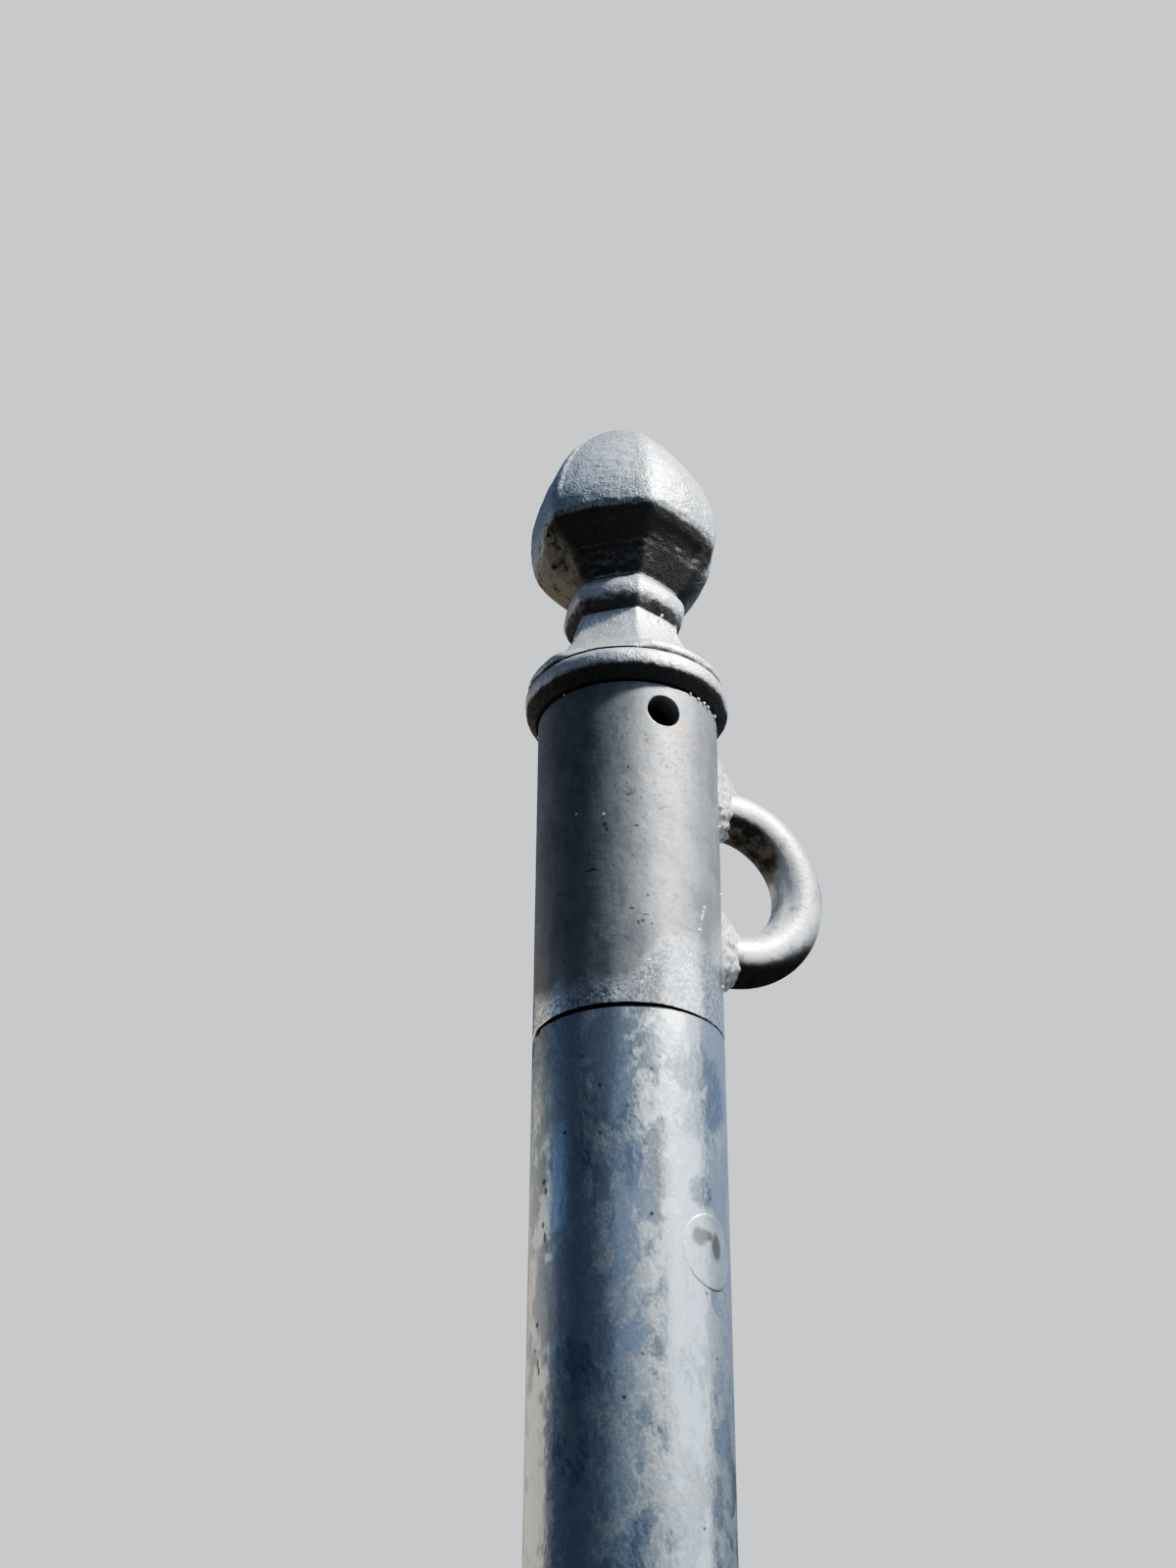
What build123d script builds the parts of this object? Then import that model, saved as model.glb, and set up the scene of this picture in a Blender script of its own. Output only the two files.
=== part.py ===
from build123d import *
import math
import os

# A galvanised steel washing line pole, from the ground up: a long round tube, a short head
# tube that stands on it over an inner spigot, a cast six-sided finial and a bent eye for the
# line, welded to the side of the head. Lengths are millimetres and angles degrees.
# The origin is the centre of the pole's foot at ground level. Bearings turn about the pole
# from +X, which points at the eye, towards +Y.

# Pole and head tube
tube_diameter = 76.1
tube_wall = 3.6
pole_height = 1850.0
head_length = 147.6
tube_end_chamfer = 0.7
joint_gap = 0.3

# Spigot that carries the head, plug welded into the top of the pole
spigot_clearance = 0.3
spigot_wall = 6.0
spigot_in_pole = 150.0
spigot_in_head = 95.0
plug_weld_drop = 93.0
plug_weld_bearing = -62.6
plug_weld_diameter = 28.5
plug_weld_rise = 0.8

# Vent hole near the top of the head, drilled through the tube and the casting's boss
vent_diameter = 15.0
vent_drop = 13.0
vent_bearing = -91.0

# Eye for the line: round bar bent to a U, its legs welded to the head tube
eye_bar_diameter = 21.5
eye_bend_radius = 34.5
eye_bend_centre = 44.0
eye_height_above_joint = 80.3
eye_weld_leg = 6.0

# Finial casting: a round lip over the end of the tube, a six-sided ornament on the lip and a
# hollow boss that plugs into the tube. The ridge cut is how far out the ridges are cut back
# flat, as a share of the half width across the six flats.
ridge_bearing = 25.5
ridge_cut = 1.11
casting_shift = 0.9
casting_shift_bearing = 155.0
boss_clearance = 0.3
boss_wall = 6.0
boss_length = 32.0
boss_hollow_rise = 8.0
lip_height = 20.2
flare_height = 27.8
bead_height = 16.3
bulb_height = 95.2

# The lip from the tube up: a wide ring, a groove and the round foot of the flare. Half widths
# against the share of its own height, joined by straight slopes.
lip_outline = [
    (38.5, 0.0),
    (43.2, 0.25),
    (44.1, 0.39),
    (43.9, 0.55),
    (41.2, 0.7),
    (42.6, 0.79),
    (42.0, 0.93),
    (37.5, 1.0),
]

# The ornament's stages from the lip up: half widths across the flats against the share of
# the stage's own height. Each three points make one arc.
flare_outline = [
    (33.6, 0.0),
    (28.9, 0.245),
    (26.2, 0.46),
    (23.4, 0.69),
    (21.6, 1.0),
]
bead_outline = [
    (21.6, 0.0),
    (24.2, 0.22),
    (24.9, 0.54),
    (24.3, 0.82),
    (21.6, 1.0),
]
bulb_outline = [
    (21.6, 0.0),
    (30.5, 0.10),
    (35.6, 0.19),
    (37.7, 0.31),
    (37.9, 0.43),
    (36.0, 0.55),
    (31.5, 0.67),
    (24.3, 0.79),
    (15.6, 0.89),
    (7.5, 0.965),
    (2.0, 1.0),
]

tube_radius = tube_diameter / 2
tube_bore_radius = tube_radius - tube_wall
head_foot = pole_height + joint_gap
head_top = head_foot + head_length
eye_height = head_foot + eye_height_above_joint
eye_bar_radius = eye_bar_diameter / 2
drill_reach = 2 * tube_radius
plug_bearings = [plug_weld_bearing, plug_weld_bearing + 180]


def turned_about(bearing, shape):
    return Rot(0, 0, bearing) * shape


def tube(radius, wall, foot, length):
    """A round tube standing at height foot."""
    return Pos(0, 0, foot) * (
        Cylinder(radius, length, align=(Align.CENTER, Align.CENTER, Align.MIN))
        - Cylinder(radius - wall, length, align=(Align.CENTER, Align.CENTER, Align.MIN))
    )


def radial_drill(diameter, bearing, height):
    """A drill that enters the pole from outside at the given bearing and stops at its axis."""
    across = Rot(0, 90, 0) * Cylinder(
        diameter / 2, drill_reach, align=(Align.CENTER, Align.CENTER, Align.MIN)
    )
    return Pos(0, 0, height) * turned_about(bearing, across)


def vent_drill():
    return radial_drill(vent_diameter, vent_bearing, head_top - vent_drop)


def pole_tube():
    pole = tube(tube_radius, tube_wall, 0, pole_height)
    top_edge = pole.edges().filter_by(GeomType.CIRCLE).sort_by(Axis.Z)[-2:]
    outer_edge = top_edge.sort_by(SortBy.RADIUS)[-1]
    pole = chamfer(outer_edge, tube_end_chamfer)
    for bearing in plug_bearings:
        pole -= radial_drill(plug_weld_diameter, bearing, pole_height - plug_weld_drop)
    return pole


def head_tube():
    head = tube(tube_radius, tube_wall, head_foot, head_length)
    foot_edges = head.edges().filter_by(GeomType.CIRCLE).sort_by(Axis.Z)[:2]
    outer_edge = foot_edges.sort_by(SortBy.RADIUS)[-1]
    head = chamfer(outer_edge, tube_end_chamfer)
    return head - vent_drill()


def spigot_tube():
    radius = tube_bore_radius - spigot_clearance
    foot = pole_height - spigot_in_pole
    length = spigot_in_pole + joint_gap + spigot_in_head
    return tube(radius, spigot_wall, foot, length)


def plug_welds():
    """Weld metal that fills the pole's two holes down to the spigot, standing a little proud."""
    height = pole_height - plug_weld_drop
    spigot_radius = tube_bore_radius - spigot_clearance
    shell = Cylinder(tube_radius + plug_weld_rise, 2 * plug_weld_diameter) - Cylinder(
        spigot_radius, 2 * plug_weld_diameter
    )
    shell = Pos(0, 0, height) * shell
    front, back = [
        shell & radial_drill(plug_weld_diameter, bearing, height)
        for bearing in plug_bearings
    ]
    return front + back


def eye_path():
    """The bar's centre line: out from the pole, round the bend and back."""
    lower = Line((0, 0, -eye_bend_radius), (eye_bend_centre, 0, -eye_bend_radius))
    bend = ThreePointArc(
        (eye_bend_centre, 0, -eye_bend_radius),
        (eye_bend_centre + eye_bend_radius, 0, 0),
        (eye_bend_centre, 0, eye_bend_radius),
    )
    upper = Line((eye_bend_centre, 0, eye_bend_radius), (0, 0, eye_bend_radius))
    return Wire([lower, bend, upper])


def pole_blank():
    """The tube's outside as a solid, to cope and cut what sits on it."""
    return Cylinder(tube_radius, 2 * head_length)


def line_eye():
    section = Plane((0, 0, -eye_bend_radius), z_dir=(1, 0, 0)) * Circle(eye_bar_radius)
    bar = sweep(section, path=eye_path())
    return Pos(0, 0, eye_height) * (bar - pole_blank())


def eye_welds():
    """Fillet welds round both legs of the eye, coped to the head tube."""
    root = eye_bar_radius
    start = math.sqrt(tube_radius**2 - (root + eye_weld_leg) ** 2)
    outline = Polyline(
        (start, root),
        (start, root + eye_weld_leg),
        (tube_radius + eye_weld_leg, root),
        close=True,
    )
    bead = revolve(make_face(outline), Axis.X, 360) - pole_blank()
    upper = Pos(0, 0, eye_height + eye_bend_radius) * bead
    lower = Pos(0, 0, eye_height - eye_bend_radius) * bead
    return upper + lower


def ornament_points():
    """Half widths and heights above the lip, up one side of the ornament."""
    points = [(flare_outline[0][0], 0.0)]
    foot = 0.0
    stages = [
        (flare_height, flare_outline),
        (bead_height, bead_outline),
        (bulb_height, bulb_outline),
    ]
    for height, outline in stages:
        points += [(half, foot + share * height) for half, share in outline[1:]]
        foot += height
    return points


def side_arcs(points):
    """Arcs through each three points in turn, the last of one being the first of the next."""
    starts = range(0, len(points) - 2, 2)
    return [ThreePointArc(*points[i : i + 3]) for i in starts]


def crossed_prisms(widening, first_turn):
    """Three prisms with the ornament's outline, crossed at sixty degrees, leave six sides."""
    right = [(half * widening, height) for half, height in ornament_points()]
    left = [(-half, height) for half, height in reversed(right)]
    top = Line(right[-1], left[0])
    foot = Line(left[-1], right[0])
    outline = Wire([*side_arcs(right), top, *side_arcs(left), foot])
    prism = extrude(Plane.XZ * make_face(outline), tube_diameter, both=True)
    body = turned_about(first_turn, prism)
    for turn in (60, 120):
        body = body & turned_about(first_turn + turn, prism)
    return body


def ornament():
    """Six flat sides that follow the outline, and between them ridges cut back flat."""
    flats = crossed_prisms(1.0, 0)
    ridges = crossed_prisms(ridge_cut, 30)
    return turned_about(ridge_bearing + 30, flats & ridges)


def lip():
    """The round lip, turned from its outline."""
    side = [(half, share * lip_height) for half, share in lip_outline]
    outline = Polyline((0, 0), *side, (0, lip_height), close=True)
    return revolve(Plane.XZ * make_face(outline), Axis.Z, 360)


def casting_place():
    angle = math.radians(casting_shift_bearing)
    return Pos(
        casting_shift * math.cos(angle), casting_shift * math.sin(angle), head_top
    )


def finial():
    boss_radius = tube_bore_radius - boss_clearance
    boss = Pos(0, 0, head_top) * Cylinder(
        boss_radius, boss_length, align=(Align.CENTER, Align.CENTER, Align.MAX)
    )
    hollow = Pos(0, 0, head_top - boss_length) * Cylinder(
        boss_radius - boss_wall,
        boss_length + boss_hollow_rise,
        align=(Align.CENTER, Align.CENTER, Align.MIN),
    )
    top = casting_place() * (lip() + Pos(0, 0, lip_height) * ornament())
    return top + boss - hollow - vent_drill()


parts = {
    "pole_tube": pole_tube(),
    "spigot_tube": spigot_tube(),
    "plug_welds": plug_welds(),
    "head_tube": head_tube(),
    "finial": finial(),
    "line_eye": line_eye(),
    "eye_welds": eye_welds(),
}

os.makedirs("parts", exist_ok=True)
for name, shape in parts.items():
    export_step(shape, f"parts/{name}.step")
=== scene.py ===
import math
import random

import bmesh
import bpy
from bmesh.types import BMEdge, BMFace, BMVert
from mathutils import Matrix, Vector, noise


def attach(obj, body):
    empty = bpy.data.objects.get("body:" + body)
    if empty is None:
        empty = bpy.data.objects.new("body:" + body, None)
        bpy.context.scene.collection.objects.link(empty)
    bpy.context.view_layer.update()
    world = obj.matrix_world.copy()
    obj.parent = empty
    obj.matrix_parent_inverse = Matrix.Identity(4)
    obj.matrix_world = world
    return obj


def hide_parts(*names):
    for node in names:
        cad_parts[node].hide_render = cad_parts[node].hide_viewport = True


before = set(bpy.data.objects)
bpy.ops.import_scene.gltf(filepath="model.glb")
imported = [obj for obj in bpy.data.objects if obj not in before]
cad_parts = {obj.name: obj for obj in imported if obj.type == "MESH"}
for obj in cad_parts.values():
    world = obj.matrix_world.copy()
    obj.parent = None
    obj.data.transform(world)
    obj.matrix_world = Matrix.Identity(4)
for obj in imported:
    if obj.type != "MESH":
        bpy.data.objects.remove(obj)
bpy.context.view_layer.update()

MM = 0.001

# Sizes of the built pole, in metres. The bearings turn about the pole from the eye's side.
TUBE_RADIUS = 38.05 * MM
TUBE_WALL = 3.6 * MM
JOINT = 1.85
HEAD_FOOT = 1.8503
HEAD_TOP = 1.9979
BOSS_RADIUS = 34.15 * MM
BOSS_WALL = 6 * MM
BOSS_LENGTH = 32 * MM
# The zinc leaves the vent hole narrower in the head than in the casting's boss
VENT_HEIGHT = 1.9849
VENT_BEARING = -91.0
VENT_RADIUS = 7.5 * MM
HEAD_VENT_RADIUS = 7.1 * MM
# The eye's bar is drawn from just inside the tube
EYE_BAR = 10.7 * MM
EYE_START = 36.6 * MM
EYE_BEND = 34.5 * MM
EYE_REACH = 44.0 * MM
EYE_HEIGHT = 1.9306
PLUG_RADIUS = 14.25 * MM
PLUG_HEIGHT = 1.757
PLUG_BEARING = -62.6
PHOTO_AZIMUTH = -24.5

# Bearings of the casting's features
RIDGE_BEARING = 25.5
WIDE_RIDGE = -154.5
WORN_RIDGE = -94.5
FRONT_SIDES = -105
FULL_SIDE = 6
FILLED_SIDE = -129.0
LEAN_BEARING = 155

# The casting's heights, in mm above the head tube
GROOVE = 14.3
FILL_TOP = 25.5
TIP = 159.4
# How it departs from even sides as it goes up: pairs of a height and a size in mm or degrees
TWIST = [(24, -9), (57, -4.5), (108, 0)]  # how far its sides turn
LEAN = [(8, 0.25), (42, 1.3), (100, 1.75), (159, 2.6)]
FILL = [(14.4, 40.8), (17, 37.6), (20.5, 34.1), (FILL_TOP, 30.5)]  # half width of the full foot
FILL_ROUNDNESS = [(15, 1), (19, 0.35), (25, 0.2)]
BELLY_CUT = [
    (65, 0),
    (68, 1.2),
    (72, 2.6),
    (76, 3.8),
    (79, 4.4),
    (82, 4.3),
    (85, 3.2),
    (88, 1.4),
    (91, 0.2),
    (94, -0.4),
    (103, -0.4),
    (112, 0),
]
BELLY_SWELL = [(65, 0), (69, 2.4), (73, 3.4), (78, 2.8), (85, 1.0), (92, 0)]
RIDGE_ROUNDING = 0.13  # a ridge's radius as a share of the half width
RIDGE_WEAR = [(88, RIDGE_ROUNDING), (102, 0.3)]
WIDE_RIDGE_TURN = [(60, 0), (82, 5), (125, 5), (150, 0)]
# How far round the casting each of them reaches: degrees from its bearing, and its share there
FILL_SPREAD = [(14, 1), (30, 0)]
FRONT_SPREAD = [(60, 1), (80, 0)]
SWELL_SPREAD = [(28, 1), (42, 0)]
WIDE_RIDGE_SPREAD = [(0, 1), (35, 0)]
WORN_RIDGE_REACH = 30
# Its unevenness: how wide the lumps are and how far they stand out, in mm
CAST_LUMPS = [(17, 0.5), (6, 0.22), (2.6, 0.2)]

# Marks: bearing, height, distance from the axis, width and length, in mm
POLE_PITS = [
    (-171.0, 1784.9, 38, 2.0, 2.4),
    (-168.8, 1780.9, 38, 2.0, 3.0),
    (-171.3, 1768.1, 38, 2.0, 2.8),
    (-169.1, 1763.1, 38, 1.8, 4.4),
    (-176.2, 1731.1, 38, 2.2, 2.2),
    (-174.8, 1716.5, 38, 1.6, 3.6),
    (-173.4, 1713.5, 38, 1.6, 3.6),
    (-130.9, 1798.4, 38, 1.2, 1.4),
]
POLE_BEADS = [
    (-131.0, 1817.3, 38, 1.6, 1.8),
    (-101.3, 1823.8, 38, 1.6, 1.8),
    (-115.3, 1808.3, 38, 1.3, 1.6),
]
PLUG_STAINS = [
    (-72.2, 1761.1, 38, 7.5, 8),
    (-66.4, 1762.4, 38, 8, 4.5),
    (-57.8, 1759.6, 38, 6.5, 11),
]
HEAD_SPECKS = [
    (-94.6, 1937.4, 38, 1.8, 1.0),
    (-137.0, 1909.9, 38, 4.5, 1.3),
    (-91.4, 1939.0, 38, 1.5, 1.0),
    (-128.4, 1929.8, 38, 1.6, 2.4),
    (-103.6, 1889.0, 38, 3.0, 1.0),
    (-100.5, 1885.2, 38, 1.5, 1.2),
    (-108.4, 1885.4, 38, 1.2, 2.0),
    (-92.9, 1938.2, 38, 1.6, 1.2),
    (-102.7, 1897.6, 38, 1.5, 1.3),
    (-112.1, 1891.5, 38, 2.4, 1.2),
    (-105.8, 1886.1, 38, 1.8, 1.6),
    (-108.9, 1928.7, 38, 2.2, 1.2),
    (-127.2, 1927.4, 38, 1.2, 2.0),
]
# Pale chips, and painted glints where drops of zinc sit on the tube
HEAD_PALE_SPECKS_AND_GLINTS = [
    (-147.4, 1937.6, 38, 1.3, 1.0),
    (-129.1, 1934.8, 38, 1.4, 1.0),
    (-61.6, 1899.0, 38, 1.3, 3.0),
    (-63.0, 1896.6, 38, 1.2, 3.0),
    (-64.2, 1894.4, 38, 1.1, 2.4),
    (-66.6, 1888.1, 38, 1.7, 2.2),
]
CASTING_DIRT = [
    (-174.5, 2086.9, 39, 9, 12),
    (-154.5, 2108.0, 42, 2.5, 4),
    (-96.5, 2067.5, 29, 7, 5),
    (169.5, 2000.4, 39, 7, 5),
    (176.0, 2005.0, 41, 3, 2),
    (-172.0, 2005.8, 41, 4, 1.6),
    (-164.0, 2005.8, 41, 4, 1.4),
    (174.0, 2074.5, 34, 6, 5),
    (-168.0, 2077.0, 34, 4, 8),
    (167.0, 2088.0, 38, 5, 6),
]
# Patches: bearing, height in metres, and how far from there, in mm, they begin to fade and end
JOINT_OPEN = (-128, JOINT, 20, 48)
JOINT_CHIP = (177, JOINT - 2 * MM, 1.5, 4)
DROSS = (-70, JOINT - 71.5 * MM, 4, 9)
WIPED = (-72, JOINT - 32 * MM, 12, 30)
# Where the painted shade lies in the crevice round the plug's lower edge
PLUG_CREVICE_SHADE = (PLUG_BEARING - 3, PLUG_HEIGHT - 12 * MM, 7, 12)
BAND_LIFT = (-50, HEAD_FOOT + 22 * MM, 16, 44)
BAND_DIP = (-144, HEAD_FOOT + 8 * MM, 18, 44)
HEAD_SCUFFS = [(-84, HEAD_TOP - 34 * MM, 5, 20), (-103, HEAD_TOP - 57 * MM, 4, 16)]
SPECK_CROWD = (-97, HEAD_FOOT + 104 * MM, 8, 30)
BROWN_STAIN = (-80, HEAD_FOOT + 126 * MM, 2, 10)
# Where the painted underside shade on the casting is lighter
LESS_SHADE_BELLY = (FULL_SIDE, HEAD_TOP + 78 * MM, 8, 26)
# Where the painted underside shade on the casting is near black
DEEP_SHADE_PATCH = (-62, HEAD_TOP + 74 * MM, 18, 30)
# Where the painted underside shade on the casting is paler, with tan dust in patches
PALE_DUST = (166, HEAD_TOP + 74 * MM, 15, 24)
# Places inside the eye's upper bend
BEND_DROSS = (60.5 * MM, -5.5 * MM, EYE_HEIGHT + 20 * MM)
# Where the painted shade inside the bend lies in tan and black patches
BEND_PATCHY_SHADE = (54 * MM, -4 * MM, EYE_HEIGHT + 16 * MM)
# Creases of the casting, darkened with dirt and painted shade: height above the head tube and
# how far the dark spreads, in mm, and how black it is
CREASES = [(0.2, 0.6, 0.85), (GROOVE, 0.1, 0.1), (47.8, 0.9, 0.8), (64.9, 0.8, 0.85)]
# Drops of zinc: bearing, height above the head tube, distance from the axis and size, in mm
ZINC_DROPS = [
    (-71.1, -0.3, 38.2, 0.7),
    (-63.8, -0.5, 38.2, 1.0),
    (-57.5, -0.5, 38.3, 0.8),
    (-52.5, -0.6, 38.2, 1.1),
    (-40.9, -0.7, 38.2, 1.0),
    (-72.5, 47.0, 22.6, 0.9),
    (18.0, -0.5, 38.2, 0.9),
    (31.0, -0.4, 38.2, 0.6),
    (74.0, -0.5, 38.2, 1.0),
    (101.0, -0.3, 38.2, 0.7),
    (148.0, -0.6, 38.2, 1.1),
    (-158.0, -0.3, 38.1, 0.6),
    (60.0, 47.2, 22.6, 0.8),
    (-62.0, -99.3, 37.8, 0.9),
    (-62.9, -101.2, 37.8, 0.7),
    (-66.6, -109.9, 37.8, 0.9),
]


# ---- small helpers ----

# Faces that meet at a wider angle than this, in degrees, keep a sharp edge between them
SHARP_BEND = 38


def on_pole(bearing, height, radius=TUBE_RADIUS):
    """The point at a bearing and height, on the tubes' skin or so far from the axis."""
    turn = math.radians(bearing)
    return Vector((radius * math.cos(turn), radius * math.sin(turn), height))


def linear(colour):
    """A hex colour as a screen shows it, turned to linear light."""
    parts = [int(colour[i : i + 2], 16) / 255 for i in (1, 3, 5)]
    out = [c / 12.92 if c <= 0.04045 else ((c + 0.055) / 1.055) ** 2.4 for c in parts]
    return (*out, 1.0)


def mark_sharp(bm):
    bm.normal_update()
    for edge in bm.edges:
        faces = edge.link_faces
        if len(faces) == 2:
            bend = faces[0].normal.angle(faces[1].normal, 0)
            edge.smooth = bend < math.radians(SHARP_BEND)


def only(kind, geom):
    """The vertices, edges or faces in what a bmesh operator has made."""
    return [g for g in geom if isinstance(g, kind)]


def finished(name, bm, material, slot, *replaced):
    """Closes the mesh, links it as a piece of the pole and hides the CAD parts it replaces."""
    bmesh.ops.remove_doubles(bm, verts=bm.verts, dist=1e-6)
    bmesh.ops.recalc_face_normals(bm, faces=bm.faces)
    mark_sharp(bm)
    for face in bm.faces:
        face.smooth = True
    mesh = bpy.data.meshes.new(name)
    bm.to_mesh(mesh)
    bm.free()
    piece = bpy.data.objects.new(name, mesh)
    bpy.context.scene.collection.objects.link(piece)
    mesh.materials.append(material)
    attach(piece, "root")
    if replaced:
        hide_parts(*replaced)


# ---- shader helpers ----


def new_material(name):
    material = bpy.data.materials.new(name)
    material.use_nodes = True
    tree = material.node_tree
    shader = tree.nodes["Principled BSDF"]
    return material, tree, shader


def add(tree, kind, links=None, **settings):
    """Adds a node; settings are its own values or its sockets', links feed its sockets."""
    node = tree.nodes.new(kind)
    for name, value in settings.items():
        if hasattr(node, name):
            setattr(node, name, value)
        else:
            node.inputs[name.replace("_", " ")].default_value = value
    for name, source in (links or {}).items():
        tree.links.new(source, node.inputs[name])
    return node


def feed(tree, socket, value):
    """Sets a socket to a number, or links another node's socket to it."""
    if isinstance(value, (int, float)):
        socket.default_value = value
    else:
        tree.links.new(value, socket)


def math_node(tree, operation, *values, clamp=False):
    """A Math node; each value is a number or another node's socket."""
    node = add(tree, "ShaderNodeMath", operation=operation, use_clamp=clamp)
    for socket, value in zip(node.inputs, values):
        feed(tree, socket, value)
    return node.outputs[0]


def times(tree, a, b):
    return math_node(tree, "MULTIPLY", a, b)


def larger(tree, a, b):
    return math_node(tree, "MAXIMUM", a, b)


def weighted(tree, value, weight, base, clamp=False):
    """The base plus the value times its weight."""
    return math_node(tree, "MULTIPLY_ADD", value, weight, base, clamp=clamp)


def apart(tree, value, centre):
    """How far a value lies from a centre, either way."""
    return math_node(tree, "ABSOLUTE", math_node(tree, "SUBTRACT", value, centre))


def vector_node(tree, operation, at, other=None):
    """A Vector Math node on a point and, where it takes one, a fixed vector."""
    node = add(tree, "ShaderNodeVectorMath", {"Vector": at}, operation=operation)
    if other is not None:
        node.inputs[1].default_value = other
    is_number = operation in ("DISTANCE", "DOT_PRODUCT", "LENGTH")
    return node.outputs["Value" if is_number else "Vector"]


def mapped(tree, value, low, high, out_low=0.0, out_high=1.0):
    """Runs smoothly from one number to another as the value goes from low to high."""
    node = add(
        tree,
        "ShaderNodeMapRange",
        {"Value": value},
        interpolation_type="SMOOTHSTEP",
        From_Min=low,
        From_Max=high,
        To_Min=out_low,
        To_Max=out_high,
    )
    return node.outputs[0]


def coloured(tree, share, under, over):
    """Mixes two colours by a share; each is a hex colour or another node's socket."""
    node = add(tree, "ShaderNodeMix", {"Factor": share}, data_type="RGBA")
    for i, value in ((6, under), (7, over)):
        if isinstance(value, str):
            node.inputs[i].default_value = linear(value)
        else:
            tree.links.new(value, node.inputs[i])
    return node.outputs[2]


def place(tree):
    """Where a point lies on the pole; every piece has its origin at the pole's foot."""
    return add(tree, "ShaderNodeTexCoord").outputs["Object"]


def z_of(tree, vector):
    """The upward part of a point or a direction."""
    return add(tree, "ShaderNodeSeparateXYZ", {"Vector": vector}).outputs["Z"]


def scaled(tree, at, scale, shift):
    """A point with its axes scaled, and shifted so that two textures don't repeat each other."""
    spot = add(tree, "ShaderNodeMapping", {"Vector": at}, Scale=scale, Location=(shift,) * 3)
    return spot.outputs[0]


def noise_of(tree, at, size_mm, detail, rough, stretch=(1, 1, 1), shift=0.0):
    """Noise whose lumps are about size_mm across; stretch makes them longer along an axis."""
    spot = scaled(tree, at, [1000 / size_mm / s for s in stretch], shift)
    settings = {"Scale": 1.0, "Detail": detail, "Roughness": rough}
    return add(tree, "ShaderNodeTexNoise", {"Vector": spot}, **settings).outputs["Fac"]


def crystals_of(tree, at, size_mm, wander_mm):
    """Zinc crystals about size_mm across, each with its own shade and uneven edges."""
    scale = 1000 / size_mm
    wander = add(tree, "ShaderNodeTexNoise", {"Vector": at}, Scale=scale, Detail=2.0)
    push = add(tree, "ShaderNodeVectorMath", operation="MULTIPLY_ADD")
    tree.links.new(wander.outputs["Color"], push.inputs[0])
    push.inputs[1].default_value = (wander_mm * MM * 2,) * 3
    tree.links.new(at, push.inputs[2])
    cells = add(tree, "ShaderNodeTexVoronoi", {"Vector": push.outputs[0]}, Scale=scale)
    return add(tree, "ShaderNodeSeparateColor", {"Color": cells.outputs["Color"]}).outputs[0]


def spot_of(tree, at, centre, inner_mm, outer_mm):
    """1 near a point, fading to 0."""
    away = vector_node(tree, "DISTANCE", at, centre)
    return mapped(tree, away, inner_mm * MM, outer_mm * MM, 1.0, 0.0)


def patch_of(tree, at, patch):
    """1 in the middle of a patch, fading to 0."""
    bearing, height, inner_mm, outer_mm = patch
    return spot_of(tree, at, on_pole(bearing, height), inner_mm, outer_mm)


def marks_of(tree, at, marks):
    """1 in each of a few small marks, given by bearing, height, radius from the axis, width and
    length up the pole, all in mm but the bearing."""
    found = 0.0
    for bearing, height, radius, width, length in marks:
        away = vector_node(tree, "SUBTRACT", at, on_pole(bearing, height * MM, radius * MM))
        flat = vector_node(tree, "MULTIPLY", away, (1, 1, width / length))
        far = vector_node(tree, "LENGTH", flat)
        mark = mapped(tree, far, width * 0.3 * MM, width * 0.65 * MM, 1.0, 0.0)
        found = larger(tree, mark, found)
    return found


def pits_of(tree, at, spacing_mm, size_mm, shift=0.0):
    """Scattered small pits, 1 inside each and 0 between them."""
    spot = scaled(tree, at, (1000 / spacing_mm,) * 3, shift)
    cells = add(tree, "ShaderNodeTexVoronoi", {"Vector": spot}, Scale=1.0)
    reach = size_mm / spacing_mm / 2
    return mapped(tree, cells.outputs["Distance"], reach * 0.6, reach * 1.2, 1.0, 0.0)


def underside_shade_of(tree, soft):
    """1 on undersides, where painted shade darkens them, and 0 elsewhere."""
    rise = z_of(tree, add(tree, "ShaderNodeNewGeometry").outputs["Normal"])
    return mapped(tree, weighted(tree, soft, 0.3, rise), -0.35, 0.05, 1.0, 0.0)


def joint_dirt(tree, at, height, edge, side):
    """Black dirt along one tube's edge at the joint, wider where the joint sits a little open.
    The side is 1 above the edge and -1 below it."""
    open_part = patch_of(tree, at, JOINT_OPEN)
    chip = patch_of(tree, at, JOINT_CHIP)
    ragged = noise_of(tree, at, 4, 3, 0.65, shift=6.0)
    wide = weighted(tree, open_part, 0.8 * MM, -0.25 * MM)
    wide = weighted(tree, chip, 1.6 * MM, wide)
    wide = weighted(tree, ragged, 0.6 * MM, wide)
    away = times(tree, math_node(tree, "SUBTRACT", height, edge), side)
    away = math_node(tree, "SUBTRACT", away, wide)
    return mapped(tree, away, -0.15 * MM, 0.25 * MM, 1.0, 0.0)


def bumped(tree, shader, *layers):
    """Stacks bump layers (height, depth in mm, strength) under the shader's normal."""
    below = {}
    for height, depth, strength in layers:
        links = {"Height": height, **below}
        bump = add(tree, "ShaderNodeBump", links, Distance=depth * MM, Strength=strength)
        below = {"Normal": bump.outputs[0]}
    tree.links.new(below["Normal"], shader.inputs["Normal"])


def coated(tree, shader, colour, metallic, roughness):
    """Gives the shader its colour, and its metal and roughness as numbers or sockets."""
    tree.links.new(colour, shader.inputs["Base Color"])
    feed(tree, shader.inputs["Metallic"], metallic)
    feed(tree, shader.inputs["Roughness"], roughness)


# ---- materials ----

# The air as the camera and as the metal sees it, and how much of the far floor's glow the metal
# sees
AIR_SEEN = "#e9ecef"
AIR_FELT = "#7488ad"
UNSEEN_GLOW = 0.28


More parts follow.
